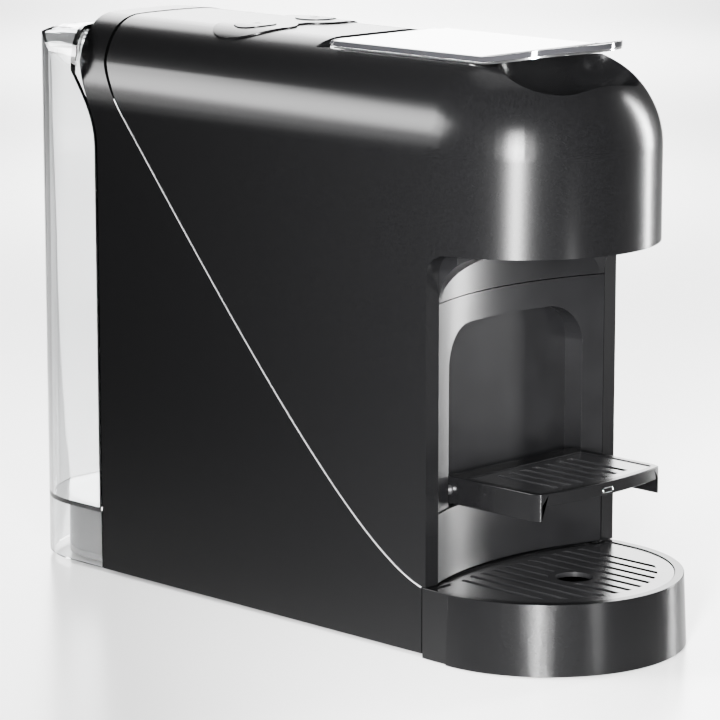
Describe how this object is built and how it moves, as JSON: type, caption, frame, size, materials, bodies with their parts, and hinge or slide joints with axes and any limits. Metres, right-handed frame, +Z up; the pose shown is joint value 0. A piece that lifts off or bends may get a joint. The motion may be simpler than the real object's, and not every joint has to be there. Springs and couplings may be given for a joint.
{
  "type": "pod coffee machine",
  "caption": "Narrow pod coffee machine with a round drip tray, fold-up cup shelf, lever-driven brew chamber, capsule bin and clear rear water tank.",
  "frame": {"origin": "on the table, below the middle of the machine's bounding box", "axes": "+Z up, the drip tray and spout face -Y, the water tank is at +Y, +X is on the right in a view of its front"},
  "size_m": [0.1208, 0.336, 0.2548],
  "materials": {
    "casing": "satin",
    "black_gloss": "gloss",
    "black_matte": "matte",
    "chrome_trim": "polished",
    "steel": "plain",
    "clear": "clear",
    "rubber_black": "matte",
    "seal_red": "matte",
    "inner_plastic": "matte",
    "white_plastic": "matte",
    "hose_clear": "soft",
    "copper_coil": "varnished",
    "boiler_alloy": "cast",
    "brass_part": "plain",
    "board_green": "lacquered"
  },
  "bodies": {
    "machine": {"base_plate": "black_matte", "feet": "rubber_black", "base_screws": "steel", "upper_shell": "casing", "lower_shell": "casing", "rear_panel": "black_matte", "brew_hood": "casing", "column_panel": "casing", "spout": "black_matte", "outlet_funnel": "inner_plastic", "lever_pin": "steel", "lever_deck": "black_matte", "brew_frame": "inner_plastic", "injector": "inner_plastic", "capsule_chute": "inner_plastic", "button_pad": "casing", "spring_short": "steel", "spring_long": "steel", "button_board": "board_green", "tank_plinth": "black_gloss", "water_socket": "inner_plastic", "socket_seal": "seal_red", "shelf_pins": "steel", "chassis": "inner_plastic", "pump_body": "white_plastic", "pump_spring": "steel", "pump_coil": "copper_coil", "pump_mounts": "rubber_black", "flow_meter": "white_plastic", "boiler": "boiler_alloy", "thermostats": "brass_part", "control_board": "board_green", "suction_hose": "hose_clear", "feed_hose": "hose_clear", "pressure_hose": "hose_clear", "brew_hose": "hose_clear", "cord_inlet": "rubber_black"},
    "lever": {"lever_frame": "chrome_trim", "lever_cover": "black_gloss"},
    "brew_slide": {"brew_chamber": "inner_plastic", "chamber_seal": "seal_red"},
    "button_short": {"button_short": "casing"},
    "button_long": {"button_long": "casing"},
    "tank": {"tank": "clear", "tank_lid_pins": "steel"},
    "tank_lid": {"tank_lid": "clear"},
    "tank_valve": {"tank_valve": "black_matte", "tank_valve_spring": "steel"},
    "drip_tray": {"drip_tray": "casing"},
    "drip_grille": {"drip_grille": "black_matte"},
    "capsule_bin": {"capsule_bin": "casing"},
    "cup_shelf": {"cup_shelf": "casing", "shelf_grille": "black_matte"},
    "flow_rotor": {"flow_rotor": "white_plastic"},
    "pump_plunger": {"pump_plunger": "steel"}
  },
  "joints": [
    {"name": "lever_hinge", "type": "hinge", "parent": "machine", "child": "lever", "pos_m": [0, -0.0144, 0.2437], "axis": [-1, 0, 0], "range_deg": [0, 80]},
    {"name": "brew_slide", "type": "slide", "parent": "machine", "child": "brew_slide", "axis": [0, -1, 0], "range_m": [0, 0.03]},
    {"name": "shelf_hinge", "type": "hinge", "parent": "machine", "child": "cup_shelf", "pos_m": [0, -0.0886, 0.0685], "axis": [-1, 0, 0], "range_deg": [0, 90]},
    {"name": "button_short_press", "type": "slide", "parent": "machine", "child": "button_short", "axis": [0, 0, -1], "range_m": [0, 0.0015], "stiffness_N_per_m": 700, "springref_m": -0.0005, "deforming": ["spring_short"]},
    {"name": "button_long_press", "type": "slide", "parent": "machine", "child": "button_long", "axis": [0, 0, -1], "range_m": [0, 0.0015], "stiffness_N_per_m": 700, "springref_m": -0.0005, "deforming": ["spring_long"]},
    {"name": "tray_slide", "type": "slide", "parent": "machine", "child": "drip_tray", "axis": [0, -1, 0], "range_m": [0, 0.07]},
    {"name": "grille_lift", "type": "slide", "parent": "drip_tray", "child": "drip_grille", "axis": [0, 0, 1], "range_m": [0, 0.025]},
    {"name": "bin_slide", "type": "slide", "parent": "machine", "child": "capsule_bin", "axis": [0, -1, 0], "range_m": [0, 0.07]},
    {"name": "tank_slide", "type": "slide", "parent": "machine", "child": "tank", "axis": [0, 1, 0], "range_m": [0, 0.09]},
    {"name": "tank_lid_hinge", "type": "hinge", "parent": "tank", "child": "tank_lid", "pos_m": [0, 0.148, 0.2428], "axis": [1, 0, 0], "range_deg": [0, 95]},
    {"name": "tank_valve_press", "type": "slide", "parent": "tank", "child": "tank_valve", "axis": [0, 1, 0], "range_m": [0, 0.003], "stiffness_N_per_m": 300, "springref_m": -0.002},
    {"name": "flow_rotor_spin", "type": "hinge", "parent": "machine", "child": "flow_rotor", "pos_m": [-0.034, 0.077, 0.0442], "axis": [0, 0, 1], "continuous": true},
    {"name": "pump_stroke", "type": "slide", "parent": "machine", "child": "pump_plunger", "axis": [0, -1, 0], "range_m": [0, 0.003], "stiffness_N_per_m": 1500, "springref_m": -0.001}
  ],
  "couplings": [
    {"joint": "brew_slide", "follows": "lever_hinge", "m_per_rad": 0.021486}
  ]
}
